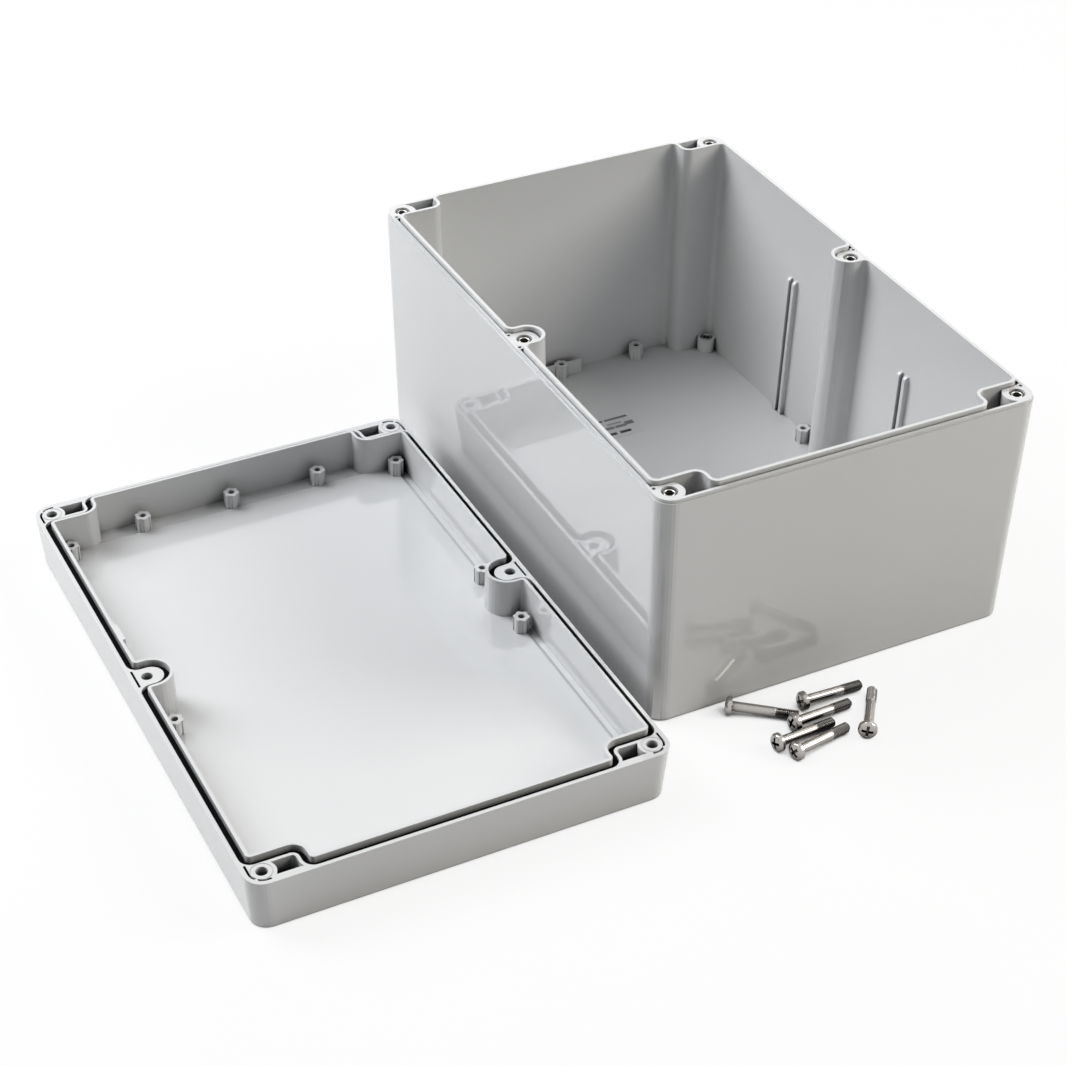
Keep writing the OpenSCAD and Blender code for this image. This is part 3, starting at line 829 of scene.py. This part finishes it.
class ENCLOSURE_OT_stage(bpy.types.Operator):
    """Set the camera, the lights and the pale floor"""

    bl_idname = "enclosure.stage"
    bl_label = "Stage"

    def execute(self, context):
        scene = context.scene
        stage = scene.enclosure_stage
        camera_data = bpy.data.cameras.new("photo_camera")
        camera_data.sensor_width = SENSOR_WIDTH
        camera_data.lens = stage.lens
        camera_data.clip_start, camera_data.clip_end = CAMERA_CLIP
        camera = bpy.data.objects.new("photo_camera", camera_data)
        camera.location = stage.camera_place
        camera.rotation_euler = stage.camera_turn
        scene.collection.objects.link(camera)
        scene.camera = camera
        scene.view_settings.view_transform = "Standard"
        self.white_world(scene, stage)
        self.white_floor(scene, stage)
        for name, place in SOFTBOXES.items():
            self.softbox(scene, name, *place, getattr(stage, f"{name}_power"))
        return {"FINISHED"}

    def softbox(self, scene, name, bearing, height, distance, side, tint, power):
        """A square lamp that looks at the object, placed by its bearing and its height as angles."""
        turn, rise = math.radians(bearing), math.radians(height)
        way = Vector((math.sin(turn) * math.cos(rise), -math.cos(turn) * math.cos(rise), math.sin(rise)))
        data = bpy.data.lights.new(f"{name}_light", "AREA")
        data.shape = "SQUARE"
        data.size = side
        data.color = tint
        data.energy = power
        lamp = bpy.data.objects.new(f"{name}_light", data)
        lamp.location = way * distance
        lamp.rotation_euler = (STAGE_CENTRE - lamp.location).to_track_quat("-Z", "Y").to_euler()
        scene.collection.objects.link(lamp)

    def seen_factor(self, nodes, links):
        """1 for the camera and for rays that a surface reflects or lets through."""
        path = nodes.new("ShaderNodeLightPath")
        total = path.outputs["Is Camera Ray"]
        for name in ("Is Glossy Ray", "Is Transmission Ray"):
            total = calculate(nodes, links, "MAXIMUM", total, path.outputs[name])
        return total

    def white_world(self, scene, stage):
        """Surroundings that look and mirror white, and light the object only as much as the sky setting."""
        world = bpy.data.worlds.new("studio")
        scene.world = world
        world.use_nodes = True
        nodes, links = world.node_tree.nodes, world.node_tree.links
        background = nodes["Background"]
        background.inputs["Color"].default_value = (1, 1, 1, 1)
        seen = self.seen_factor(nodes, links)
        strength = ramp(nodes, links, seen, low=stage.sky, high=1.0, start=0.0, end=1.0)
        links.new(strength, background.inputs["Strength"])

    def white_floor(self, scene, stage):
        """A plain pale floor that shows part of its own white where it is seen or mirrored in the open."""
        half = stage.floor_size / 2
        mesh = bpy.data.meshes.new("studio_floor")
        corners = [(-half, -half, 0), (half, -half, 0), (half, half, 0), (-half, half, 0)]
        mesh.from_pydata(corners, [], [(0, 1, 2, 3)])
        floor = bpy.data.objects.new("studio_floor", mesh)
        scene.collection.objects.link(floor)
        material, nodes, links, shader = new_material("white_sweep")
        coords = nodes.new("ShaderNodeTexCoord").outputs["Object"]
        paper = noise(nodes, links, coords, scale=30.0)
        links.new(blend_colors(nodes, links, paper, *FLOOR_TONES), shader.inputs["Base Color"])
        shader.inputs["Roughness"].default_value = 0.9
        shader.inputs["Specular IOR Level"].default_value = 0.0
        glow = nodes.new("ShaderNodeEmission")
        glow.inputs["Color"].default_value = (1, 1, 1, 1)
        glow.inputs["Strength"].default_value = 1.0
        seen = self.seen_factor(nodes, links)
        open_glow = ramp(nodes, links, open_sky(nodes, stage.gap_reach), 0.0, stage.glow, *FLOOR_FADE)
        mix = nodes.new("ShaderNodeMixShader")
        links.new(calculate(nodes, links, "MULTIPLY", seen, open_glow), mix.inputs["Fac"])
        links.new(shader.outputs["BSDF"], mix.inputs[1])
        links.new(glow.outputs["Emission"], mix.inputs[2])
        links.new(mix.outputs["Shader"], nodes["Material Output"].inputs["Surface"])
        mesh.materials.append(material)


class ENCLOSURE_PT_panel(bpy.types.Panel):
    """Settings and steps of the enclosure"""

    bl_idname = "ENCLOSURE_PT_panel"
    bl_label = "Enclosure"
    bl_space_type = "VIEW_3D"
    bl_region_type = "UI"
    bl_category = "Enclosure"

    def draw(self, context):
        layout = self.layout
        for group in ("enclosure_sizes", "enclosure_finish", "enclosure_stage"):
            box = layout.box()
            settings = getattr(context.scene, group)
            for name in settings.bl_rna.properties.keys():
                if name not in ("rna_type", "name"):
                    box.prop(settings, name)
        for operator in OPERATORS:
            layout.operator(operator.bl_idname)


OPERATORS = (
    ENCLOSURE_OT_stage,
    ENCLOSURE_OT_mouldings,
    ENCLOSURE_OT_gasket,
    ENCLOSURE_OT_label,
    ENCLOSURE_OT_inserts,
    ENCLOSURE_OT_screws,
)
GROUPS = (EnclosureSizes, EnclosureFinish, EnclosureStage)


def register():
    """Adds the settings, the operators and the panel."""
    for item in (*GROUPS, *OPERATORS, ENCLOSURE_PT_panel):
        bpy.utils.register_class(item)
    bpy.types.Scene.enclosure_sizes = PointerProperty(type=EnclosureSizes)
    bpy.types.Scene.enclosure_finish = PointerProperty(type=EnclosureFinish)
    bpy.types.Scene.enclosure_stage = PointerProperty(type=EnclosureStage)


def unregister():
    """Takes the settings, the operators and the panel away again."""
    del bpy.types.Scene.enclosure_sizes
    del bpy.types.Scene.enclosure_finish
    del bpy.types.Scene.enclosure_stage
    for item in reversed((*GROUPS, *OPERATORS, ENCLOSURE_PT_panel)):
        bpy.utils.unregister_class(item)


def main():
    """Registers the classes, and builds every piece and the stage."""
    register()
    bpy.ops.enclosure.stage()
    bpy.ops.enclosure.mouldings()
    bpy.ops.enclosure.gasket()
    bpy.ops.enclosure.label()
    bpy.ops.enclosure.inserts()
    bpy.ops.enclosure.screws()


if __name__ == "__main__":
    main()
